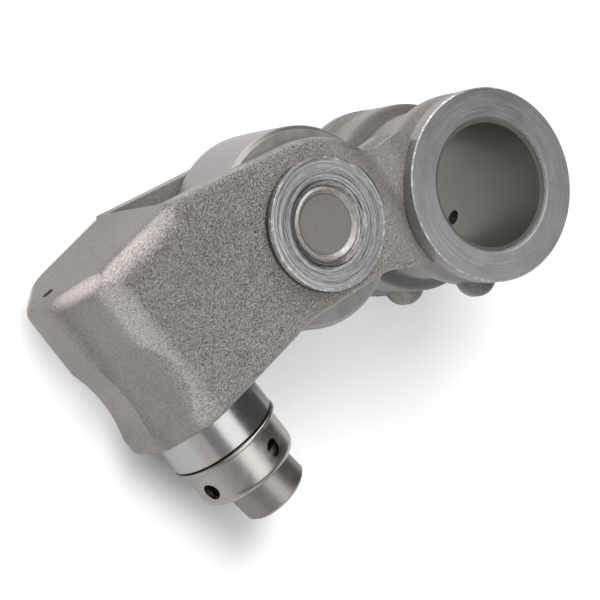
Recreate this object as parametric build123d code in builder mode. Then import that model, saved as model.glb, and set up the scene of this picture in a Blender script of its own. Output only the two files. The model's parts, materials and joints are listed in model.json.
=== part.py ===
from build123d import *
from math import asin, cos, degrees, hypot, radians, sin, sqrt
import os

os.makedirs("parts", exist_ok=True)

# Frame: the shaft bore runs along Z with its centre at the origin. The arm reaches towards -X.
# +Y is the cam side and -Y is the valve side, where the foot points. All lengths are in millimetres.

# Shaft boss
shaft_bore_r = 17.0
bush_wall = 1.0
bush_inset = 1.5
boss_half = 29.5
boss_ring_width = 3.3
boss_ring_r = 26.5
boss_ring_edge = 0.35
boss_mouth_chamfer = 0.8
boss_shoulder_r = 26.3
waist_r = 23.2
waist_low_z = -4.8
waist_high_z = 3.0
waist_low_flank = 3.7
waist_high_flank = 11.0
waist_low_round = 1.6
waist_high_round = 9.0
bore_oil_hole_d = 4.6
bore_oil_hole_z = -12.1
bore_oil_hole_angle = -59.0

# Roller and its pin
pin_x = -44.4
pin_y = 23.9
pin_r = 10.0
pin_end_sink = 0.4
pin_end_edge = 0.5
pin_recess_r = 8.0
pin_recess_mouth_r = 9.2
pin_recess_depth = 1.2
pin_oil_bore_r = 2.5
pin_oil_bore_depth = 30.0
pin_feed_d = 3.0
pin_feed_z = -16.85
pin_feed_groove_width = 5.0
pin_feed_groove_depth = 1.2
pin_plug_length = 3.0
pin_plug_sink = 2.2
pin_plug_edge = 0.3
roller_r = 27.5
roller_half = 12.8
roller_edge = 1.2
roller_bore_edge = 0.6
crown = 0.15
bush_end_gap = 0.2
roller_bush_wall = 2.5
running_clearance = 0.05
roller_side_gap = 0.7
slot_radial_gap = 1.3

# Fork walls and the bosses round the pin ends
eye_r = 23.3
eye_corner = (-24.44, 42.07)
fork_root = (-12.3, -14.2)
fork_bend = (-37.0, 1.6)
fork_rise_x = -64.0
fork_bend_round = 12.0
flare_start_x = -60.0
flare_end_x = -30.0
flare_start_round = 40.0
flare_end_round = 30.0
flare_depth = 3.4
web_start_x = -36.0
web_mid_x = -27.0
web_end_x = -17.5
web_depth = 3.0
pin_ring_r = 18.0
pin_ring_half = 23.2
spot_face_margin = 0.5
pin_mouth_chamfer = 2.2
pin_mouth_depth = 1.1
block_edge_round = 4.6
wall_edge_round = 2.0
lug_angle = -126.0
lug_inner_half = 13.3
lug_outer_half = 21.2
lug_reach = 29.7
lug_width = 11.5
lug_round = 3.2

# Valve-end block and the bore of the lash piston
nose_x = -116.3
block_top_y = 58.0
block_bottom_y = 6.8
block_end_x = -76.5
block_inner_x = -76.0
fork_start_x = -86.0
nose_half = 7.5
nose_corner_x = -105.0
wall_half = 20.2
nose_corner_round = 12.0
scoop_r = 40.0
scoop_depth = 2.0
scoop_y = 24.0
vent_hole_r = 1.6
vent_hole_x = -110.3
piston_x = -96.0
piston_clearance = 0.03
block_crown = 11.0
gallery_r = 1.8
oil_way_lap = 1.5

# Lash piston, cage and foot, with heights given at the piston's fully extended stop
piston_r = 15.7
piston_top_gap = 7.0
piston_edge = 0.4
piston_shoulder_y = -4.0
piston_stroke = 4.5
cup_r = 10.5
cup_floor_drop = 12.0
stop_ring_y = 16.2
stop_ring_t = 1.4
stop_ring_inner_r = 15.0
stop_ring_outer_r = 16.8
stop_ring_split = 8.0
stop_relief_r = 14.8
relief_bottom_y = 11.5
stop_gap = 0.1
plunger_length = 23.0
plunger_clearance = 0.1
reservoir_r = 7.0
reservoir_floor = 4.0
orifice_r = 1.8
feed_hole_r = 1.2
feed_hole_drop = 1.5
check_ball_r = 2.5
ball_seat_gap = 0.02
retainer_t = 0.6
retainer_flange_r = 9.3
retainer_inner_r = 3.4
retainer_depth = 7.0
retainer_window_r = 1.2
retainer_window_drop = 3.5
check_hole_r = 0.8
spring_wire_r = 0.7
spring_coil_r = 7.8
spring_turns = 3.5
check_spring_wire_r = 0.15
check_spring_coil_r = 1.4
check_spring_turns = 3.0
coil_end_gap = 0.1
ball_centre_y = -9.5
ball_r = 8.0
socket_clearance = 0.1
neck_bottom_y = -8.0
cage_r = 14.5
cage_t = 0.9
cage_lip_r = 15.9
cage_lip_gap = 0.3
cage_lip_h = 1.3
lip_round = 0.6
cage_bottom_y = -17.5
cage_shoulder_r = 3.1
cage_opening_r = 11.3
cage_hole_r = 2.45
cage_hole_y = -11.6
cage_hole_count = 4
cage_hole_turn = 77.0
foot_r = 9.9
foot_flange_r = 12.0
foot_flange_top_y = -12.6
foot_flange_bottom_y = -14.5
foot_bottom_y = -26.8
foot_edge = 0.9
foot_lean = 7.5

# Values that follow from the ones above
bush_seat_r = shaft_bore_r + bush_wall
neck_half = boss_half - boss_ring_width
piston_bore_top_y = block_top_y - block_crown
piston_top_y = piston_bore_top_y - piston_top_gap
slot_half = roller_half + roller_side_gap
slot_r = roller_r + slot_radial_gap
piston_bore_r = piston_r + piston_clearance
bush_inner_r = pin_r + running_clearance
bush_outer_r = bush_inner_r + roller_bush_wall
pin_half = pin_ring_half - pin_end_sink
neck_r = cage_r - cage_t
cage_top_y = piston_shoulder_y - cage_lip_gap
stop_ring_top_y = stop_ring_y + stop_ring_t
relief_top_y = stop_ring_top_y + stop_gap
plunger_bottom_y = piston_bore_top_y - plunger_length
cup_floor_y = plunger_bottom_y - cup_floor_drop
feed_hole_y = piston_bore_top_y - feed_hole_drop
check_ball_y = plunger_bottom_y - sqrt(check_ball_r ** 2 - orifice_r ** 2) - ball_seat_gap
retainer_bottom_y = plunger_bottom_y - retainer_depth
retainer_outer_r = retainer_inner_r + retainer_t
window_y = plunger_bottom_y - retainer_window_drop
spring_low_y = cup_floor_y + spring_wire_r + coil_end_gap
spring_high_y = plunger_bottom_y - retainer_t - spring_wire_r - coil_end_gap
check_spring_low_y = retainer_bottom_y + retainer_t + check_spring_wire_r + coil_end_gap
ball_drop = check_ball_r - sqrt(check_ball_r ** 2 - check_spring_coil_r ** 2)
check_spring_high_y = check_ball_y - check_ball_r + ball_drop - check_spring_wire_r - 2 * coil_end_gap

plunger_r = cup_r - plunger_clearance
ball_meet_y = foot_flange_top_y - ball_centre_y
ball_meet_r = sqrt(ball_r ** 2 - ball_meet_y ** 2)
ball_meet_angle = degrees(asin(ball_meet_y / ball_r))
pin_distance = hypot(pin_x, pin_y)
towards_pin = Vector(pin_x / pin_distance, pin_y / pin_distance, 0)
bore_way_start = towards_pin * (shaft_bore_r - oil_way_lap) + Vector(0, 0, pin_feed_z)
bore_way_end = towards_pin * (pin_distance - pin_r + oil_way_lap) + Vector(0, 0, pin_feed_z)
block_way_end = Vector(piston_x, piston_bore_top_y - gallery_r, gallery_r / 2 - piston_bore_r)
block_way = Vector(block_way_end.X - pin_x, block_way_end.Y - pin_y, 0).normalized()
block_way_start = Vector(pin_x, pin_y, pin_feed_z) + block_way * (pin_r - oil_way_lap)
oil_ways = ((bore_way_start, bore_way_end), (block_way_start, block_way_end))
slant_x = nose_x - nose_corner_x
slant_z = wall_half - nose_half
slant = hypot(slant_x, slant_z)
scoop_centre = scoop_r - scoop_depth
scoop_cuts = [((nose_x - scoop_centre, scoop_y, 0), (0, 0, 1))]
for side in (-1, 1):
    out_x = -slant_z / slant
    out_z = -side * slant_x / slant
    scoop_cuts.append(
        (
            (
                (nose_x + nose_corner_x) / 2 + out_x * scoop_centre,
                scoop_y,
                side * (nose_half + wall_half) / 2 + out_z * scoop_centre,
            ),
            (-slant_x, 0, side * slant_z),
        )
    )

pin_centre = (pin_x, pin_y)
piston_axis = Axis((piston_x, 0, 0), (0, 1, 0))
piston_section = Plane(origin=(piston_x, 0, 0), x_dir=(1, 0, 0), z_dir=(0, 0, 1))
pin_axis = Axis((pin_x, pin_y, 0), (0, 0, 1))
pin_section = Plane(origin=(pin_x, pin_y, 0), x_dir=(1, 0, 0), z_dir=(0, -1, 0))


def level(y, x=piston_x):
    """Sketch plane square to Y at height y, facing -Y."""
    return Plane(origin=(x, y, 0), x_dir=(1, 0, 0), z_dir=(0, -1, 0))


def across(z):
    """Sketch plane square to the shaft at height z."""
    return Plane.XY.offset(z)


# Fork of the forging: side outline of walls and eye, cut to its plan outline and rounded
with BuildPart() as forged_fork:
    with BuildSketch(across(-neck_half)):
        with BuildLine():
            FilletPolyline(
                (fork_start_x, block_bottom_y + 6.0),
                (fork_start_x + 2.0, block_top_y - 8.0),
                (block_end_x, block_top_y),
                eye_corner,
                fork_root,
                fork_bend,
                (fork_rise_x, block_bottom_y),
                (fork_start_x + 6.0, block_bottom_y),
                radius=[0, 0, 0, eye_r, 0, fork_bend_round, fork_bend_round, 0],
                close=True,
            )
        make_face()
    extrude(amount=2 * neck_half)
    with BuildSketch(level(block_top_y + 1, 0)):
        with BuildLine():
            FilletPolyline(
                (fork_start_x - 4.0, -wall_half),
                (fork_start_x - 4.0, wall_half),
                (flare_start_x, wall_half),
                (flare_end_x, neck_half - flare_depth),
                (fork_root[0] + 2.0, neck_half),
                (fork_root[0] + 2.0, -neck_half),
                (flare_end_x, flare_depth - neck_half),
                (flare_start_x, -wall_half),
                radius=[0, 0, flare_start_round, flare_end_round, 0, 0, flare_end_round, flare_start_round],
                close=True,
            )
        make_face()
    extrude(amount=block_top_y + 40, mode=Mode.INTERSECT)
    rims = forged_fork.edges().filter_by(Axis.Y, reverse=True).filter_by(Axis.Z, reverse=True)
    rims = rims.filter_by(lambda rim: rim.center().X > fork_start_x + 4.0)
    top_rims = rims.filter_by(lambda rim: rim.center().Y > pin_y)
    bottom_rims = rims.filter_by(lambda rim: rim.center().Y < block_bottom_y + 0.1)
    fillet(top_rims + bottom_rims, wall_edge_round)

# Valve-end block of the forging, with its five-sided nose
with BuildPart() as forged_block:
    with BuildSketch(level(block_top_y, 0)):
        with BuildLine():
            FilletPolyline(
                (nose_x, -nose_half),
                (nose_x, nose_half),
                (nose_corner_x, wall_half),
                (block_end_x, wall_half),
                (block_end_x, -wall_half),
                (nose_corner_x, -wall_half),
                radius=[6.0, 6.0, nose_corner_round, 0, 0, nose_corner_round],
                close=True,
            )
        make_face()
    extrude(amount=block_top_y - block_bottom_y)
    top_rim = forged_block.faces().sort_by(Axis.Y)[-1].edges()
    fillet(top_rim.sort_by(Axis.X)[:-1], block_edge_round)
    bottom_rim = forged_block.faces().sort_by(Axis.Y)[0].edges()
    fillet(bottom_rim.sort_by(Axis.X)[:-1], wall_edge_round)

# Web that blends the fork walls into the boss
with BuildPart() as boss_web:
    with BuildSketch(across(-neck_half)):
        with BuildLine():
            FilletPolyline(
                (-26.0, 34.0),
                (-21.8, 30.2),
                (-12.0, 28.7),
                (-8.0, 20.0),
                (-14.0, -13.0),
                (-33.0, -0.9),
                radius=[0, 6.0, 2.0, 0, 0, 0],
                close=True,
            )
        make_face()
    extrude(amount=2 * neck_half)
    with BuildSketch(level(block_top_y, 0)):
        with BuildLine():
            FilletPolyline(
                (web_start_x, web_depth + 1.6 - neck_half),
                (web_start_x, neck_half - web_depth - 1.6),
                (web_mid_x, neck_half - web_depth),
                (web_end_x, neck_half),
                (0, neck_half),
                (0, -neck_half),
                (web_end_x, -neck_half),
                (web_mid_x, web_depth - neck_half),
                radius=[0, 0, 12.0, 6.0, 0, 0, 6.0, 12.0],
                close=True,
            )
        make_face()
    extrude(amount=block_top_y + 40, mode=Mode.INTERSECT)

# Round-ended lug, drawn along X from the boss's centre and used twice
with BuildPart() as lug:
    with BuildSketch(Plane.XY):
        with Locations((lug_reach / 2 + boss_shoulder_r / 4, 0)):
            SlotOverall(lug_reach - boss_shoulder_r / 2, lug_width)
    extrude(amount=lug_outer_half - lug_inner_half)
    fillet(lug.edges().filter_by(Axis.Z, reverse=True), lug_round)

# Rocker body: the forged arm joined to the shaft boss, then machined
with BuildPart() as rocker_body:
    add(forged_fork.part)
    add(forged_block.part)
    add(boss_web.part)
    # space between the fork walls
    with BuildSketch(across(-slot_half)):
        with Locations((block_inner_x / 2, pin_y)):
            Rectangle(-block_inner_x, 4 * eye_r)
    extrude(amount=2 * slot_half, mode=Mode.SUBTRACT)
    # shaft boss with its off-centre waist and machined end rings
    with BuildSketch(Plane.XZ):
        with BuildLine():
            FilletPolyline(
                (bush_seat_r - 1, -boss_half),
                (boss_ring_r - boss_ring_edge, -boss_half),
                (boss_ring_r, boss_ring_edge - boss_half),
                (boss_ring_r, -neck_half),
                (boss_shoulder_r, -neck_half),
                (boss_shoulder_r, waist_low_z - waist_low_flank),
                (waist_r, waist_low_z),
                (waist_r, waist_high_z),
                (boss_shoulder_r, waist_high_z + waist_high_flank),
                (boss_shoulder_r, neck_half),
                (boss_ring_r, neck_half),
                (boss_ring_r, boss_half - boss_ring_edge),
                (boss_ring_r - boss_ring_edge, boss_half),
                (bush_seat_r - 1, boss_half),
                radius=[
                    0, 0, 0, 0, 0,
                    waist_low_round, waist_low_round, waist_high_round, waist_high_round,
                    0, 0, 0, 0, 0,
                ],
                close=True,
            )
        make_face()
    revolve(axis=Axis.Z)
    # bosses round the pin ends, faced flush where the wall flares
    with BuildSketch(across(-pin_ring_half)):
        with Locations(pin_centre):
            Circle(pin_ring_r)
    extrude(amount=pin_ring_half - slot_half)
    with BuildSketch(across(slot_half)):
        with Locations(pin_centre):
            Circle(pin_ring_r)
    extrude(amount=pin_ring_half - slot_half)
    for side in (-1, 1):
        with BuildSketch(across(side * pin_ring_half)):
            with Locations(pin_centre):
                Circle(pin_ring_r + spot_face_margin)
        extrude(amount=side * boss_half, mode=Mode.SUBTRACT)
    # two lugs under the boss
    for low_z in (lug_inner_half, -lug_outer_half):
        add(Pos(0, 0, low_z) * Rot(0, 0, lug_angle) * lug.part)
    # room for the roller
    with BuildSketch(across(-slot_half)):
        with Locations(pin_centre):
            Circle(slot_r)
    extrude(amount=2 * slot_half, mode=Mode.SUBTRACT)
    # shaft bore with its mouths and the oil hole in its wall
    with BuildSketch(Plane.XZ):
        Polygon(
            (0, -boss_half - 1),
            (bush_seat_r + boss_mouth_chamfer + 1, -boss_half - 1),
            (bush_seat_r, boss_mouth_chamfer - boss_half),
            (bush_seat_r, boss_half - boss_mouth_chamfer),
            (bush_seat_r + boss_mouth_chamfer + 1, boss_half + 1),
            (0, boss_half + 1),
            align=None,
        )
    revolve(axis=Axis.Z, mode=Mode.SUBTRACT)
    oil_way = (cos(radians(bore_oil_hole_angle)), sin(radians(bore_oil_hole_angle)), 0)
    with BuildSketch(Plane(origin=(0, 0, bore_oil_hole_z), x_dir=(0, 0, 1), z_dir=oil_way)):
        Circle(bore_oil_hole_d / 2)
    extrude(amount=boss_ring_r + 2, mode=Mode.SUBTRACT)
    # pin bore, opened at both mouths for the staking
    with BuildSketch(pin_section):
        Polygon(
            (0, -pin_ring_half - 1),
            (pin_r + pin_mouth_chamfer, -pin_ring_half - 1),
            (pin_r + pin_mouth_chamfer, -pin_ring_half),
            (pin_r, pin_mouth_depth - pin_ring_half),
            (pin_r, pin_ring_half - pin_mouth_depth),
            (pin_r + pin_mouth_chamfer, pin_ring_half),
            (pin_r + pin_mouth_chamfer, pin_ring_half + 1),
            (0, pin_ring_half + 1),
            align=None,
        )
    revolve(axis=pin_axis, mode=Mode.SUBTRACT)
    # piston bore with the groove of its stop ring
    with BuildSketch(piston_section):
        Polygon(
            (0, block_bottom_y - 1),
            (piston_bore_r, block_bottom_y - 1),
            (piston_bore_r, stop_ring_y),
            (stop_ring_outer_r, stop_ring_y),
            (stop_ring_outer_r, stop_ring_top_y),
            (piston_bore_r, stop_ring_top_y),
            (piston_bore_r, piston_bore_top_y),
            (0, piston_bore_top_y),
            align=None,
        )
    revolve(axis=piston_axis, mode=Mode.SUBTRACT)
    # oil ways: shaft bore to pin bore, then pin bore to the top of the piston bore
    for start, end in oil_ways:
        with BuildSketch(Plane(origin=start, z_dir=end - start)):
            Circle(gallery_r)
        extrude(amount=(end - start).length, mode=Mode.SUBTRACT)
    # vent hole in the block's top
    with BuildSketch(level(block_top_y + 1, vent_hole_x)):
        Circle(vent_hole_r)
    extrude(amount=block_top_y + 2 - piston_bore_top_y, mode=Mode.SUBTRACT)
    # shallow scoop round the nose
    for spot, way in scoop_cuts:
        with BuildSketch(Plane(origin=spot, x_dir=(0, 1, 0), z_dir=way)):
            Circle(scoop_r)
        extrude(amount=wall_half, both=True, mode=Mode.SUBTRACT)
rocker_body.part.label = "rocker_body"
export_step(rocker_body.part, "parts/rocker_body.step")

# Bearing bush pressed in the shaft boss
with BuildPart() as shaft_bush:
    with BuildSketch(across(bush_inset - boss_half)):
        Circle(bush_seat_r)
        Circle(shaft_bore_r, mode=Mode.SUBTRACT)
    extrude(amount=2 * (boss_half - bush_inset))
    with BuildSketch(Plane(origin=(0, 0, bore_oil_hole_z), x_dir=(0, 0, 1), z_dir=oil_way)):
        Circle(bore_oil_hole_d / 2)
    extrude(amount=boss_ring_r, mode=Mode.SUBTRACT)
    with BuildSketch(Plane(origin=(0, 0, pin_feed_z), x_dir=(0, 0, 1), z_dir=towards_pin)):
        Circle(gallery_r)
    extrude(amount=boss_ring_r, mode=Mode.SUBTRACT)
shaft_bush.part.label = "shaft_bush"
export_step(shaft_bush.part, "parts/shaft_bush.step")

# Roller pin with its oil drillings and the groove that carries oil past it
with BuildPart() as roller_pin:
    with BuildSketch(pin_section):
        Polygon(
            (0, pin_recess_depth - pin_half),
            (pin_recess_r, pin_recess_depth - pin_half),
            (pin_recess_mouth_r, -pin_half),
            (pin_r - pin_end_edge, -pin_half),
            (pin_r, pin_end_edge - pin_half),
            (pin_r, pin_feed_z - pin_feed_groove_width / 2),
            (pin_r - pin_feed_groove_depth, pin_feed_z - pin_feed_groove_width / 2 + pin_feed_groove_depth),
            (pin_r - pin_feed_groove_depth, pin_feed_z + pin_feed_groove_width / 2 - pin_feed_groove_depth),
            (pin_r, pin_feed_z + pin_feed_groove_width / 2),
            (pin_r, pin_half - pin_end_edge),
            (pin_r - pin_end_edge, pin_half),
            (pin_recess_mouth_r, pin_half),
            (pin_recess_r, pin_half - pin_recess_depth),
            (0, pin_half - pin_recess_depth),
            align=None,
        )
    revolve(axis=pin_axis)
    with BuildSketch(across(-pin_half)):
        with Locations(pin_centre):
            Circle(pin_oil_bore_r)
    extrude(amount=pin_oil_bore_depth, mode=Mode.SUBTRACT)
    for feed_z in (0, pin_feed_z):
        with BuildSketch(Plane(origin=(pin_x, pin_y, feed_z), x_dir=(1, 0, 0), z_dir=(0, 1, 0))):
            Circle(pin_feed_d / 2)
        extrude(amount=pin_r + 1, mode=Mode.SUBTRACT)
roller_pin.part.label = "roller_pin"
export_step(roller_pin.part, "parts/roller_pin.step")

# Plug that closes the pin's long drilling
with BuildPart() as pin_oil_plug:
    with BuildSketch(across(pin_plug_sink - pin_half)):
        with Locations(pin_centre):
            Circle(pin_oil_bore_r)
    extrude(amount=pin_plug_length)
    chamfer(pin_oil_plug.faces().sort_by(Axis.Z)[0].edges(), pin_plug_edge)
pin_oil_plug.part.label = "pin_oil_plug"
export_step(pin_oil_plug.part, "parts/pin_oil_plug.step")

# Floating bush between pin and roller, with four oil holes
with BuildPart() as roller_bush:
    with BuildSketch(across(bush_end_gap - roller_half)):
        with Locations(pin_centre):
            Circle(bush_outer_r)
            Circle(bush_inner_r, mode=Mode.SUBTRACT)
    extrude(amount=2 * (roller_half - bush_end_gap))
    with BuildSketch(Plane(origin=(pin_x, pin_y, 0), x_dir=(0, 0, 1), z_dir=(0, 1, 0))):
        Circle(pin_feed_d / 2)
    extrude(amount=bush_outer_r + 1, both=True, mode=Mode.SUBTRACT)
    with BuildSketch(Plane(origin=(pin_x, pin_y, 0), x_dir=(0, 0, 1), z_dir=(1, 0, 0))):
        Circle(pin_feed_d / 2)
    extrude(amount=bush_outer_r + 1, both=True, mode=Mode.SUBTRACT)
roller_bush.part.label = "roller_bush"
export_step(roller_bush.part, "parts/roller_bush.step")

# Cam roller, with broken edges and a slightly crowned track
with BuildPart() as cam_roller:
    with BuildSketch(pin_section):
        with BuildLine():
            Polyline(
                (roller_r - crown, roller_edge - roller_half),
                (roller_r - crown - roller_edge, -roller_half),
                (bush_outer_r + running_clearance + roller_bore_edge, -roller_half),
                (bush_outer_r + running_clearance, roller_bore_edge - roller_half),
                (bush_outer_r + running_clearance, roller_half - roller_bore_edge),
                (bush_outer_r + running_clearance + roller_bore_edge, roller_half),
                (roller_r - crown - roller_edge, roller_half),
                (roller_r - crown, roller_half - roller_edge),
            )
            ThreePointArc(
                (roller_r - crown, roller_half - roller_edge),
                (roller_r, 0),
                (roller_r - crown, roller_edge - roller_half),
            )
        make_face()
    revolve(axis=pin_axis)
cam_roller.part.label = "cam_roller"
export_step(cam_roller.part, "parts/cam_roller.step")

# Lash piston: cup above, relief for the stop ring, neck with the ball socket below
with BuildPart() as lash_piston:
    with BuildSketch(piston_section):
        Polygon(
            (0, cup_floor_y),
            (cup_r, cup_floor_y),
            (cup_r, piston_top_y),
            (piston_r - piston_edge, piston_top_y),
            (piston_r, piston_top_y - piston_edge),
            (piston_r, relief_top_y),
            (stop_relief_r, relief_top_y),
            (stop_relief_r, relief_bottom_y),
            (piston_r, relief_bottom_y),
            (piston_r, piston_shoulder_y + piston_edge),
            (piston_r - piston_edge, piston_shoulder_y),
            (neck_r, piston_shoulder_y),
            (neck_r, neck_bottom_y),
            (0, neck_bottom_y),
            align=None,
        )
    revolve(axis=piston_axis)
    with Locations((piston_x, ball_centre_y, 0)):
        Sphere(ball_r + socket_clearance, mode=Mode.SUBTRACT)
lash_piston.part.label = "lash_piston"
export_step(lash_piston.part, "parts/lash_piston.step")

# Stamped cage pressed on the piston's neck
with BuildPart() as foot_cage:
    with BuildSketch(piston_section):
        with BuildLine():
            FilletPolyline(
                (neck_r, cage_top_y),
                (cage_lip_r, cage_top_y),
                (cage_lip_r, cage_top_y - cage_lip_h),
                (cage_r, cage_top_y - cage_lip_h),
                (cage_r, cage_bottom_y),
                (cage_opening_r, cage_bottom_y),
                (cage_opening_r, cage_bottom_y + cage_t),
                (neck_r, cage_bottom_y + cage_t),
                radius=[
                    0, lip_round, lip_round, lip_round / 2,
                    cage_shoulder_r, 0, 0, cage_shoulder_r - cage_t,
                ],
                close=True,
            )
        make_face()
    revolve(axis=piston_axis)
    for i in range(cage_hole_count):
        turn = radians(cage_hole_turn + i * 360 / cage_hole_count)
        spot = Plane(
            origin=(piston_x, cage_hole_y, 0), x_dir=(0, 1, 0), z_dir=(cos(turn), 0, sin(turn))
        )
        with BuildSketch(spot):
            Circle(cage_hole_r)
        extrude(amount=cage_lip_r, mode=Mode.SUBTRACT)
foot_cage.part.label = "foot_cage"
export_step(foot_cage.part, "parts/foot_cage.step")

# Swivel foot: ball, flange that the cage holds, and pad, leaning in the cage
foot_plane = Plane(origin=(piston_x, ball_centre_y, 0), x_dir=(1, 0, 0), z_dir=(0, 0, 1))
with BuildPart() as swivel_foot:
    with BuildSketch(foot_plane):
        with BuildLine():
            Polyline(
                (ball_meet_r, foot_flange_top_y - ball_centre_y),
                (foot_flange_r, foot_flange_top_y - ball_centre_y),
                (foot_flange_r, foot_flange_bottom_y - ball_centre_y),
                (foot_r, foot_flange_bottom_y - ball_centre_y),
                (foot_r, foot_bottom_y + foot_edge - ball_centre_y),
                (foot_r - foot_edge, foot_bottom_y - ball_centre_y),
                (0, foot_bottom_y - ball_centre_y),
                (0, ball_r),
            )
            CenterArc((0, 0), ball_r, ball_meet_angle, 90.0 - ball_meet_angle)
        make_face()
    revolve(axis=Axis((piston_x, 0, 0), (0, 1, 0)))
foot_hinge = Axis((piston_x, ball_centre_y, 0), (0, 0, 1))
swivel_foot.part = swivel_foot.part.rotate(foot_hinge, foot_lean)
swivel_foot.part.label = "swivel_foot"
export_step(swivel_foot.part, "parts/swivel_foot.step")

# Split ring in the bore that stops the piston
with BuildPart() as stop_ring:
    with BuildSketch(level(stop_ring_top_y)):
        Circle(stop_ring_outer_r)
        Circle(stop_ring_inner_r, mode=Mode.SUBTRACT)
        with Locations((0, stop_ring_outer_r)):
            Rectangle(stop_ring_split, stop_ring_outer_r, mode=Mode.SUBTRACT)
    extrude(amount=stop_ring_t)
stop_ring.part.label = "stop_ring"
export_step(stop_ring.part, "parts/stop_ring.step")

# Fixed inner plunger with reservoir, feed hole and valve orifice
with BuildPart() as inner_plunger:
    with BuildSketch(piston_section):
        Polygon(
            (orifice_r, plunger_bottom_y),
            (plunger_r, plunger_bottom_y),
            (plunger_r, piston_bore_top_y),
            (reservoir_r, piston_bore_top_y),
            (reservoir_r, plunger_bottom_y + reservoir_floor),
            (orifice_r, plunger_bottom_y + reservoir_floor),
            align=None,
        )
    revolve(axis=piston_axis)
    with BuildSketch(Plane(origin=(piston_x, feed_hole_y, 0), x_dir=(0, 1, 0), z_dir=(1, 0, 0))):
        Circle(feed_hole_r)
    extrude(amount=plunger_r + 1, mode=Mode.SUBTRACT)
inner_plunger.part.label = "inner_plunger"
export_step(inner_plunger.part, "parts/inner_plunger.step")

# Check ball under the orifice
with BuildPart() as check_ball:
    with Locations((piston_x, check_ball_y, 0)):
        Sphere(check_ball_r)
check_ball.part.label = "check_ball"
export_step(check_ball.part, "parts/check_ball.step")

# Stamped hat that holds the check ball, with oil windows in its wall
with BuildPart() as ball_retainer:
    with BuildSketch(piston_section):
        Polygon(
            (check_hole_r, retainer_bottom_y),
            (retainer_outer_r, retainer_bottom_y),
            (retainer_outer_r, plunger_bottom_y - retainer_t),
            (retainer_flange_r, plunger_bottom_y - retainer_t),
            (retainer_flange_r, plunger_bottom_y),
            (retainer_inner_r, plunger_bottom_y),
            (retainer_inner_r, retainer_bottom_y + retainer_t),
            (check_hole_r, retainer_bottom_y + retainer_t),
            align=None,
        )
    revolve(axis=piston_axis)
    for way in ((1, 0, 0), (0, 0, 1)):
        with BuildSketch(Plane(origin=(piston_x, window_y, 0), x_dir=(0, 1, 0), z_dir=way)):
            Circle(retainer_window_r)
        extrude(amount=retainer_outer_r + 1, both=True, mode=Mode.SUBTRACT)
ball_retainer.part.label = "ball_retainer"
export_step(ball_retainer.part, "parts/ball_retainer.step")


def coil(low_y, high_y, coil_r, wire_r, turns):
    """Round-wire coil about the piston axis between two wire-centre heights."""
    height = high_y - low_y
    with BuildPart() as wire:
        with BuildLine():
            path = Helix(
                pitch=height / turns,
                height=height,
                radius=coil_r,
                center=(piston_x, low_y, 0),
                direction=(0, 1, 0),
            )
        with BuildSketch(Plane(origin=path @ 0, z_dir=path % 0)):
            Circle(wire_r)
        sweep(path=path)
    return wire.part


plunger_spring = coil(spring_low_y, spring_high_y, spring_coil_r, spring_wire_r, spring_turns)
plunger_spring.label = "plunger_spring"
export_step(plunger_spring, "parts/plunger_spring.step")

check_ball_spring = coil(
    check_spring_low_y, check_spring_high_y, check_spring_coil_r, check_spring_wire_r, check_spring_turns
)
check_ball_spring.label = "check_ball_spring"
export_step(check_ball_spring, "parts/check_ball_spring.step")
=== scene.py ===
import json
import math

import bpy
from mathutils import Matrix, Vector

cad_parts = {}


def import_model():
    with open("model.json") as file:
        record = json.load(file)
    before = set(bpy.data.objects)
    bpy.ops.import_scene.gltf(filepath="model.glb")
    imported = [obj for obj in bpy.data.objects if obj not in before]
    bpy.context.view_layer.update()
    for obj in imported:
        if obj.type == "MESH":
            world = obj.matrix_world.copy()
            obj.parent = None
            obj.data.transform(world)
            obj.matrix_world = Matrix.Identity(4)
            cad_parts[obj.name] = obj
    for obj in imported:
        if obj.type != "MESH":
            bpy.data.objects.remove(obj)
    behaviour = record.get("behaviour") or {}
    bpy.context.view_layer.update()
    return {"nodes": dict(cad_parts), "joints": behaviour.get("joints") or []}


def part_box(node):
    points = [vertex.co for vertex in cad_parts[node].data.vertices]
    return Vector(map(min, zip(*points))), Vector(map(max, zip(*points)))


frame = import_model()


def turning_point(joint):
    """Where a hinge of the arm turns."""
    return next(Vector(j["pos_m"]) for j in frame["joints"] if j["name"] == joint)


# Places on the arm, in metres, as the frame gives them
PIN = turning_point("roller_spin")
PISTON_X = turning_point("foot_tilt").x
NOSE_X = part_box("rocker_body")[0].x
RING_R, BLOCK_TOP, BOSS_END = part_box("rocker_body")[1]
BUSH_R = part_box("shaft_bush")[1].x
ROLLER_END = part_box("cam_roller")[1].z

# Faces and rims that the frame doesn't name
PIN_RING_R = 0.018
PIN_RING_Z = 0.0232
PIN_FACE_Z = 0.0218
PIN_DISC_R = 0.0080
PIN_MOUTH_R = 0.0121
PIN_STEP_R = (0.0133, 0.0138)
EYE_Z = 0.0203
HAIR = 0.0001

# Bands on the body, each from where it starts to where it is full
WALL_Z = (0.0150, 0.0195)
WALL_RIM_Z = (0.0172, 0.0188)
SLOT_Z = (0.0141, 0.0147)
SLOT_X = (-0.0764, -0.030)
NECK_X = (-0.038, -0.026)
FORK_X = (-0.080, -0.074)
DULL_FORK_X = (-0.092, -0.078)
ROUND_NOSE_X = (-0.1175, -0.1105)
ROSY_X = (-0.110, -0.100)
WEB_X = (-0.030, -0.022)
WEB_Y = (-0.029, -0.025)
BOSS_RING_Z = (0.0240, 0.0250)
WAIST_Z = (-0.0082, -0.0030)
WAIST_R = (0.0230, 0.0263)
FAR_LUG_X = (-0.031, -0.006)
FAR_LUG_Y = (-0.026, -0.021)
FAR_LUG_Z = (0.004, 0.010)

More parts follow.
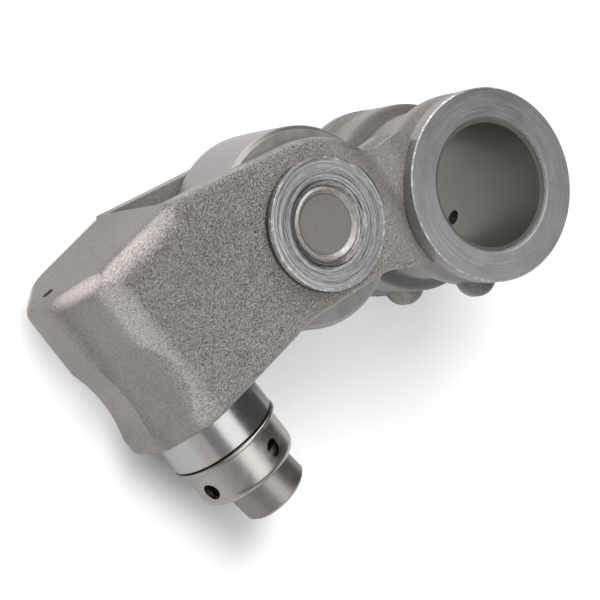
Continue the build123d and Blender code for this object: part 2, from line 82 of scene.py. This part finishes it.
# Edges of the block that are worn bright and carry a painted highlight: the direction out of each, and
# where along it the wear and the highlight run
TOP_EDGE, TOP_WEAR_AND_HIGHLIGHT = (0.0, 1.0, 1.0), (0.0708, 0.0750)
SLANT_EDGE, SLANT_WEAR_AND_HIGHLIGHT = (-0.727, 1.0, 0.685), (0.1438, 0.1454)
NOSE_EDGE, NOSE_WEAR_AND_HIGHLIGHT = (-0.396, 0.0, 0.918), (0.0580, 0.0590)

# How much light each finish returns, and its tint
SKIN, SKIN_TINT, ROSY_TINT = 0.305, (1.0, 0.965, 0.93), (1.03, 0.945, 0.91)
TURNED, TURNED_TINT = 0.45, (0.985, 0.98, 1.0)
FACED, FACED_TINT = 0.46, (1.0, 0.985, 0.975)
TREAD, TREAD_TINT, ROLLER_FACE_TINT = 0.34, (1.0, 0.955, 0.95), (1.0, 0.98, 0.955)
STAKED, STAKED_TINT = 0.35, (1.0, 0.965, 0.93)
BLAST_DEPTH = 0.00018
CUT_DEPTH = 0.00022
STAKE_DEPTH = 0.00012
GRIND_DEPTH = 0.000006
PLAIN_DEPTH = 0.00001

# The photo's view: which way is right, up and towards the viewer
RIGHT = Vector((0.61507, -0.57362, 0.54097))
UP = Vector((0.64863, 0.75819, 0.06649))
VIEWER = Vector((-0.44830, 0.31000, 0.83841))
CAMERA = Vector((-0.47639, 0.29939, 0.79244))
LENS = 210.0

# White paper that the arm lies on, and painted shadow along two lines, where its glow is taken away near
# the foot and under the belly
FLOOR_UP = Vector((0.1187, 0.0, 0.99293))
FLOOR_POINT = Vector((-0.0265, 0.0, -0.0296))
FLOOR_HALF = 4.0
PAPER = 0.85
PAPER_GLOW = 0.40
FOOT_LINE, FOOT_REACH, FOOT_SHADE = ((-0.1069, -0.0004), (-0.0975, -0.0307)), (0.002, 0.018), 0.38
BELLY_LINE, BELLY_REACH, BELLY_SHADE = ((-0.055, -0.010), (0.004, -0.040)), (0.002, 0.034), 0.20

# Light
CENTRE = Vector((-0.045, 0.016, 0.0))
ROOM = 0.11
WHITE = (1.0, 1.0, 1.0)
WARM = (1.0, 0.965, 0.96)


class Value:
    """A shader value that can be added, multiplied and compared like a number."""

    def __init__(self, tree, socket):
        self.tree, self.socket = tree, socket

    def node(self, kind, inputs=(), out=0, **settings):
        n = self.tree.nodes.new(kind)
        for key, setting in settings.items():
            setattr(n, key, setting)
        for key, given in dict(inputs).items():
            if isinstance(given, Value):
                self.tree.links.new(given.socket, n.inputs[key])
            else:
                n.inputs[key].default_value = given
        return Value(self.tree, n.outputs[out])

    def maths(self, operation, *others):
        values = (self,) + others
        return self.node("ShaderNodeMath", dict(enumerate(values)), operation=operation)

    def __add__(self, other):
        return self.maths("ADD", other)

    def __sub__(self, other):
        return self.maths("SUBTRACT", other)

    def __mul__(self, other):
        return self.maths("MULTIPLY", other)

    def __truediv__(self, other):
        return self.maths("DIVIDE", other)

    def __radd__(self, other):
        return self.maths("ADD", other)

    def __rmul__(self, other):
        return self.maths("MULTIPLY", other)

    def __rsub__(self, other):
        return self.maths("MULTIPLY", -1.0).maths("ADD", other)

    def size(self):
        return self.maths("ABSOLUTE")

    def limit(self):
        return self.maths("MINIMUM", 1.0).maths("MAXIMUM", 0.0)

    def most(self, other):
        return self.maths("MAXIMUM", other)

    def rise(self, low, high):
        """0 below low, 1 above high, smooth between."""
        return self.node(
            "ShaderNodeMapRange",
            {"Value": self, "From Min": low, "From Max": high},
            interpolation_type="SMOOTHSTEP",
        )

    def fall(self, low, high):
        """1 below low, 0 above high, smooth between."""
        return 1.0 - self.rise(low, high)

    def between(self, low, high, soft):
        return self.rise(low - soft, low + soft) * self.fall(high - soft, high + soft)

    def blend(self, first, second):
        """Colour that goes from first to second as this value goes from 0 to 1."""
        return self.node("ShaderNodeMix", {0: self, 6: first, 7: second}, out=2, data_type="RGBA")

    def tint(self, colour):
        """This value times a colour."""
        black = (0.0, 0.0, 0.0, 1.0)
        return self.blend(black, (*colour, 1.0))


class Surface:
    """One material: its place values, textures and the shader that they feed."""

    def __init__(self, name):
        self.material = bpy.data.materials.new(name)
        self.material.use_nodes = True
        self.tree = self.material.node_tree
        self.shader = self.tree.nodes["Principled BSDF"]
        self.place = self.node("ShaderNodeTexCoord", out=3)
        split = self.node("ShaderNodeSeparateXYZ", {0: self.place}).socket.node
        self.x, self.y, self.z = (Value(self.tree, out) for out in split.outputs)
        self.height = self.z.size()

    def node(self, kind, inputs=(), out=0, **settings):
        return Value(self.tree, None).node(kind, inputs, out, **settings)

    def noise(self, scale, detail, rough, where=None):
        """Noise between 0 and 1."""
        return self.node(
            "ShaderNodeTexNoise",
            {"Vector": where or self.place, "Scale": scale, "Detail": detail, "Roughness": rough},
        )

    def round_marks(self, across, heading, pitch, wander, detail, rough):
        """Noise drawn out round an axis, between -0.5 and 0.5: fine across it and slow along it."""
        turn = {1: heading[0] * wander, 2: heading[1] * wander}
        where = self.node("ShaderNodeCombineXYZ", {0: across * pitch, **turn})
        return self.noise(1.0, detail, rough, where) - 0.5

    def reach(self, first, second, at=(0.0, 0.0)):
        """Distance from an axis, given two of the place values."""
        a = first - at[0]
        b = second - at[1]
        return (a * a + b * b).maths("SQRT")

    def heading(self, first, second, at=(0.0, 0.0)):
        """Unit direction from an axis, given two of the place values."""
        away = self.reach(first, second, at).most(HAIR)
        return (first - at[0]) / away, (second - at[1]) / away

    def off_line(self, a, b):
        """Distance, seen along z, from the line between two points."""
        run = (b[0] - a[0], b[1] - a[1])
        length_2 = run[0] ** 2 + run[1] ** 2
        share = (((self.x - a[0]) * run[0] + (self.y - a[1]) * run[1]) / length_2).limit()
        return self.reach(self.x - share * run[0], self.y - share * run[1], a)

    def towards(self, x, y, outwards):
        """How far a place lies in a direction that both sides of the middle plane share."""
        return self.x * x + self.y * y + self.height * outwards

    def bump(self, height, depth):
        """Relief of the given real depth in metres."""
        return self.node("ShaderNodeBump", {"Height": height, "Distance": depth, "Strength": 1.0})

    def feed(self, name, value):
        if isinstance(value, Value):
            self.tree.links.new(value.socket, self.shader.inputs[name])
        elif name == "Base Color":
            self.shader.inputs[name].default_value = (*value, 1.0)
        else:
            self.shader.inputs[name].default_value = value

    def finish(self, colour, metallic, roughness, relief=None):
        self.feed("Base Color", colour)
        self.feed("Metallic", metallic)
        self.feed("Roughness", roughness)
        if relief:
            self.feed("Normal", relief)
        return self.material


def put(material, *nodes):
    for name in nodes:
        o = frame["nodes"][name]
        o.data.materials.clear()
        o.data.materials.append(material)


def worn_and_highlit_edges(s, fine):
    """Bright wear and a painted highlight on the block's edges: speckled along the top, less of it down
    the nose, where it grows towards the block's top.
    """
    top = s.towards(*TOP_EDGE).rise(*TOP_WEAR_AND_HIGHLIGHT) * s.height.rise(*WALL_RIM_Z)
    top = top * (1.0 - s.x.rise(*DULL_FORK_X) * 0.5) * s.x.fall(*FORK_X)
    slant = s.towards(*SLANT_EDGE).rise(*SLANT_WEAR_AND_HIGHLIGHT) * s.x.rise(*ROUND_NOSE_X)
    nose = s.towards(*NOSE_EDGE).rise(*NOSE_WEAR_AND_HIGHLIGHT) * (s.y.rise(0.0, 0.050) * 0.24 + 0.34)
    return (top.most(slant) * (fine * 1.6 + 1.1)).most(nose)


def shades(s, bore_r, pin_r):
    """Painted shade in the waist, beside the pin bosses, on the web and on the far lug, and painted light
    in the fork: the light left in each place.
    """
    waist = s.z.between(*WAIST_Z, 0.0014) * bore_r.between(*WAIST_R, 0.0004)
    beside_pin = pin_r.between(PIN_RING_R - HAIR, PIN_RING_R + HAIR, HAIR / 2)
    beside_pin = beside_pin * s.height.between(EYE_Z, PIN_RING_Z - HAIR, HAIR / 2)
    web = s.height.rise(*WALL_Z) * s.height.fall(*BOSS_RING_Z) * s.x.rise(*WEB_X) * s.y.rise(*WEB_Y)
    far_lug = s.y.fall(*FAR_LUG_Y) * s.x.between(*FAR_LUG_X, 0.003) * s.z.fall(*FAR_LUG_Z)
    # painted light: the fork's inner walls made lighter
    fork_painted_light = s.height.fall(*SLOT_Z) * s.x.between(*SLOT_X, 0.0004)
    # painted shade: the waist, the ring sides beside the pin bosses, the web and the far lug
    dark = waist * 0.55 + beside_pin * 0.62 + (web * 0.40).most(far_lug * 0.24)
    return 1.0 - dark + fork_painted_light * 0.15


def skin_colour(s, bore_r, pin_r, fine, grain, wall):
    """Blasted skin, darker on the block's top and end faces, with painted shade from shades(), rosy at the
    nose and on the worn and painted-highlit edges.
    """
    broad = s.noise(60.0, 2.0, 0.5) - 0.5
    top_face = s.y.rise(BLOCK_TOP - 0.0015, BLOCK_TOP - 0.0002)
    end_face = s.x.fall(NOSE_X + 0.0008, NOSE_X + 0.0043)
    # painted highlight as well as wear on the block's edges
    worn = worn_and_highlit_edges(s, fine)
    wall_light = wall * (0.30 - s.y.rise(0.0, 0.040) * 0.16)
    tone = grain * 0.9 + broad * 0.25 + worn + wall_light - top_face.most(end_face) * 0.20 + 1.0
    tone = (tone * SKIN * shades(s, bore_r, pin_r)).limit()
    rosy = s.x.fall(*ROSY_X).most(worn).limit()
    return rosy.blend(tone.tint(SKIN_TINT), tone.tint(ROSY_TINT))


def turned_face(s, bore_r, nicks):
    """End face of the shaft boss, darkened away from the block by painted shade, with a nicked rim: colour
    and relief.
    """
    heading = s.heading(s.x, s.y)
    turned = s.round_marks(bore_r, heading, 4200.0, 1.6, 3.0, 0.65)
    worn = s.round_marks(bore_r, heading, 300.0, 3.0, 2.0, 0.6)
    # painted shade: the face darker in one direction across it, away from the block
    far_painted_shade = (heading[0] * 0.65 + heading[1] * 0.76) * -0.13
    rim = bore_r.rise(RING_R - 0.0006, RING_R - 0.0002) * nicks * 0.7
    tone = (turned * 1.1 + worn * 0.5 + far_painted_shade + rim + 1.0) * TURNED
    return tone.limit().tint(TURNED_TINT), turned * 0.35


def cut_face(s, pin_r, nicks):
    """Face of a pin boss, cut coarser, with painted shade in a step and at the mouth, and a nicked lip
    with a painted highlight: colour and relief.
    """
    heading = s.heading(s.x, s.y, PIN)
    rings = s.round_marks(pin_r, heading, 2400.0, 0.8, 2.0, 0.7)
    scuffs = s.round_marks(pin_r, heading, 2600.0, 7.0, 3.0, 0.7)
    # painted shade in the step and at the mouth
    groove_and_mouth_shade = pin_r.between(*PIN_STEP_R, HAIR) * 0.45 + pin_r.fall(PIN_MOUTH_R - 0.0004, PIN_MOUTH_R) * 0.5
    # the lip's nicks, and a painted highlight all round it
    lip = pin_r.rise(PIN_RING_R - 0.0009, PIN_RING_R - 0.0005) * (nicks * 0.7 + 0.15)
    tone = (rings * 2.8 + scuffs * 1.5 - groove_and_mouth_shade + lip + 1.0) * FACED
    return tone.limit().tint(FACED_TINT), rings + scuffs * 0.3


def body_material():
    """Shot-blasted forging with turned boss ends, faced pin bosses, painted shade in its hollows and
    painted light in the fork.
    """
    s = Surface("blasted_forging")
    bore_r = s.reach(s.x, s.y)
    pin_r = s.reach(s.x, s.y, PIN)

    # blasting marks, hardest on the walls and softest on the neck and the boss
    fine = s.noise(3300.0, 1.0, 0.5) - 0.5
    coarse = s.noise(1900.0, 1.0, 0.5) - 0.5
    wall = s.height.rise(*WALL_Z) * (1.0 - s.x.rise(*NECK_X) * 0.8)
    grain = (fine * 2.9 + coarse * 1.9) * (wall * 0.68 + 0.32)

    nicks = s.noise(700.0, 2.0, 0.6).rise(0.52, 0.62)
    skin = skin_colour(s, bore_r, pin_r, fine, grain, wall)
    turned, turned_relief = turned_face(s, bore_r, nicks)
    faced, faced_relief = cut_face(s, pin_r, nicks)

    mouth = bore_r.between(BUSH_R - HAIR, BUSH_R + 0.0009, HAIR)
    mouth = mouth * s.height.rise(BOSS_END - 0.0010, BOSS_END - 0.0008)
    on_ring = bore_r.between(BUSH_R - 0.0002, RING_R + 0.0003, HAIR / 2)
    on_ring = on_ring * s.height.rise(BOSS_END - 0.0004, BOSS_END - 0.0003)
    on_boss = pin_r.fall(PIN_RING_R, PIN_RING_R + HAIR) * s.height.rise(PIN_FACE_Z, PIN_FACE_Z + HAIR)
    machined = on_ring.most(on_boss)

    colour = on_ring.blend(on_boss.blend(skin, faced), turned)
    rough = 0.50 - machined * 0.06 + mouth * 0.2 + fine * 0.15
    blasted = s.bump(grain, BLAST_DEPTH)
    cut = s.bump(on_ring * turned_relief + on_boss * faced_relief, CUT_DEPTH)
    relief = s.node("ShaderNodeMix", {0: machined, 4: blasted, 5: cut}, out=1, data_type="VECTOR")
    return s.finish(colour, 0.9, rough, relief)


def ground_material(name, tone, tint, rough, axis, streak=0.10, side_shade=(0.0, 0.0), stain=0.05):
    """Ground or polished steel: fine marks round its axis and painted shade on its right and left sides.
    """
    s = Surface(name)
    if axis == "z":
        along = s.z
        heading = s.heading(s.x, s.y, PIN)
    else:
        along = s.y
        heading = s.heading(s.x, s.z, (PISTON_X, 0.0))
    marks = s.round_marks(along, heading, 5200.0, 1.5, 3.0, 0.6)
    smear = s.noise(240.0, 4.0, 0.6) - 0.5
    specks = s.noise(520.0, 2.0, 0.5).rise(0.66, 0.72)
    # painted shade on the right and left sides
    painted_side_shade = heading[0].rise(0.42, 0.58) * side_shade[0] + heading[0].fall(-0.80, -0.35) * side_shade[1]
    value = (tone + marks * streak + smear * stain - specks * stain * 0.5) * (1.0 - painted_side_shade)
    rough = rough + marks * 0.08 + smear * stain * 1.5
    return s.finish(value.limit().tint(tint), 1.0, rough, s.bump(marks, GRIND_DEPTH))


def roller_material():
    """Ground roller: an even tread, a chamfer with a painted highlight on one side and painted shade on
    the other, and duller end faces with mottled wear, lifted by painted light.
    """
    s = Surface("ground_roller")
    heading = s.heading(s.x, s.y, PIN)
    marks = s.round_marks(s.z, heading, 5200.0, 1.5, 3.0, 0.6)
    smear = s.noise(240.0, 4.0, 0.6) - 0.5
    specks = s.noise(520.0, 2.0, 0.5).rise(0.66, 0.72)
    wear = s.noise(150.0, 3.0, 0.6) - 0.5
    face = s.height.rise(ROLLER_END - 0.0002, ROLLER_END)
    chamfer = s.height.rise(ROLLER_END - 0.0010, ROLLER_END - 0.0008) * (1.0 - face)
    # painted highlight on one side of the chamfer, painted shade on the other
    chamfer_highlight_and_shade = 0.30 - heading[0].rise(-0.55, 0.35) * 0.75
    # end faces: mottled wear, plus painted light that lifts them
    tone = 1.0 + chamfer * chamfer_highlight_and_shade + face * (wear * 0.9 + 0.25)
    tone = (tone * TREAD + marks * 0.10 + smear * 0.08 - specks * 0.04).limit()
    colour = face.blend(tone.tint(TREAD_TINT), tone.tint(ROLLER_FACE_TINT))
    rough = 0.42 + marks * 0.08 + smear * 0.12 + face * 0.2
    return s.finish(colour, 1.0, rough, s.bump(marks, GRIND_DEPTH))


def pin_material():
    """Dull ground pin whose staked rim is bright and rough."""
    s = Surface("staked_pin")
    pin_r = s.reach(s.x, s.y, PIN)
    marks = s.noise(900.0, 3.0, 0.6) - 0.5
    scuffs = s.round_marks(pin_r, s.heading(s.x, s.y, PIN), 2600.0, 6.0, 3.0, 0.7)
    rim = pin_r.rise(PIN_DISC_R, PIN_DISC_R + 0.0003) * s.height.rise(0.0200, 0.0203)
    line = pin_r.between(PIN_DISC_R - HAIR, PIN_DISC_R + 0.0002, HAIR) * 0.35
    tone = (marks * 0.25 + rim * (scuffs * 2.6 + 0.45) - line + 1.0) * STAKED
    relief = s.bump(marks * 0.3 + rim * scuffs, STAKE_DEPTH)
    return s.finish(tone.limit().tint(STAKED_TINT), 1.0, 0.52, relief)


def plain_material(name, tone, tint, rough):
    """Plain metal with faint marks."""
    s = Surface(name)
    marks = s.noise(300.0, 3.0, 0.6)
    value = tone + (marks - 0.5) * 0.12
    return s.finish(value.limit().tint(tint), 1.0, rough + (marks - 0.5) * 0.1, s.bump(marks, PLAIN_DEPTH))


def white_surface():
    """White paper: what the camera and the metal see of it is lifted to plain white, less so where a
    shadow is painted near the foot and under the belly.
    """
    s = Surface("white_surface")
    path = s.node("ShaderNodeLightPath").socket.node
    rays = ("Is Camera Ray", "Is Glossy Ray", "Is Transmission Ray")
    camera_ray, glossy_ray, transmission_ray = (Value(s.tree, path.outputs[ray]) for ray in rays)
    seen = (camera_ray + glossy_ray + transmission_ray).limit()
    # painted shadow on the paper near the foot and under the belly
    foot_painted_shadow = s.off_line(*FOOT_LINE).fall(*FOOT_REACH)
    belly_painted_shadow = s.off_line(*BELLY_LINE).fall(*BELLY_REACH)
    glow = PAPER_GLOW - foot_painted_shadow * FOOT_SHADE - belly_painted_shadow * BELLY_SHADE
    s.feed("Emission Color", (seen * glow).tint(WHITE))
    s.feed("Emission Strength", 1.0)
    s.feed("Specular IOR Level", 0.0)
    return s.finish((PAPER, PAPER, PAPER), 0.0, 1.0)


def add(name, data):
    o = bpy.data.objects.new(name, data)
    bpy.context.scene.collection.objects.link(o)
    return o


def floor():
    """White surface that the arm lies on."""
    side = FLOOR_UP.cross(Vector((0.0, 1.0, 0.0))).normalized() * FLOOR_HALF
    ahead = side.normalized().cross(FLOOR_UP) * FLOOR_HALF
    corners = [FLOOR_POINT + side * a + ahead * b for a, b in ((-1, -1), (1, -1), (1, 1), (-1, 1))]
    mesh = bpy.data.meshes.new("floor")
    mesh.from_pydata([tuple(c) for c in corners], [], [(3, 2, 1, 0)])
    mesh.materials.append(white_surface())
    add("floor", mesh)


def softbox(name, direction, distance, size, brightness, tint=WHITE):
    """Even square-edged lamp, as bright to look at as brightness times white paper."""
    data = bpy.data.lights.new(name, "AREA")
    data.shape = "RECTANGLE"
    data.size, data.size_y = size
    data.energy = brightness * math.pi * size[0] * size[1]
    data.color = tint
    back = Vector(direction).normalized()
    side = Vector((0.0, 1.0, 0.0)).cross(back).normalized()
    turn = Matrix((side, back.cross(side), back)).transposed().to_4x4()
    add(name, data).matrix_world = Matrix.Translation(CENTRE + back * distance) @ turn


def camera():
    data = bpy.data.cameras.new("camera")
    data.sensor_width = 36.0
    data.lens = LENS
    data.clip_end = 20.0
    o = add("camera", data)
    o.matrix_world = Matrix.Translation(CAMERA) @ Matrix((RIGHT, UP, VIEWER)).transposed().to_4x4()
    bpy.context.scene.camera = o


def world(strength):
    w = bpy.data.worlds.new("studio")
    w.use_nodes = True
    back = w.node_tree.nodes["Background"]
    back.inputs["Color"].default_value = (*WHITE, 1.0)
    back.inputs["Strength"].default_value = strength
    bpy.context.scene.world = w


put(body_material(), "rocker_body")
put(roller_material(), "cam_roller")
put(pin_material(), "roller_pin")
put(ground_material("bored_bush", 0.33, (1.0, 0.98, 0.92), 0.40, "z"), "shaft_bush")
polished_piston = ground_material(
    "polished_piston", 0.42, (1.0, 0.985, 0.97), 0.24, "y", streak=0.05, side_shade=(0.5, 0.18), stain=0.06
)
put(polished_piston, "lash_piston")
satin_cage = ground_material(
    "satin_cage", 0.44, (1.0, 0.94, 0.89), 0.34, "y", streak=0.08, side_shade=(0.0, 0.34), stain=0.26
)
put(satin_cage, "foot_cage")
polished_foot = ground_material(
    "polished_foot", 0.32, (1.0, 0.92, 0.88), 0.44, "y", streak=0.06, side_shade=(0.0, 0.36), stain=0.14
)
put(polished_foot, "swivel_foot")
put(plain_material("plug_end", 0.36, (1.0, 0.965, 0.93), 0.52), "pin_oil_plug")
put(plain_material("bronze_bush", 0.42, (1.0, 0.72, 0.36), 0.35), "roller_bush")
inner_steel = plain_material("inner_steel", 0.45, (1.0, 0.99, 0.97), 0.30)
put(inner_steel, "inner_plunger", "ball_retainer", "stop_ring")
put(plain_material("spring_wire", 0.30, (1.0, 0.98, 0.97), 0.35), "plunger_spring", "check_ball_spring")
put(plain_material("bearing_ball", 0.70, WHITE, 0.10), "check_ball")

floor()
world(ROOM)
softbox("overhead", (-0.104, -0.323, 0.941), 2.0, (1.34, 3.4), 1.83)
softbox("from_top", (0.45, 0.72, 0.53), 2.2, (2.0, 1.8), 3.0, WARM)
softbox("from_back", (-0.25, 0.62, 0.74), 2.4, (2.2, 1.6), 1.5)
softbox("left_side", (-0.918, -0.31, 0.246), 2.2, (1.5, 1.3), 0.9, WARM)
softbox("grey_side", (-0.611, -0.31, 0.728), 2.2, (0.9, 2.0), 0.28)
camera()
bpy.context.scene.view_settings.view_transform = "Standard"
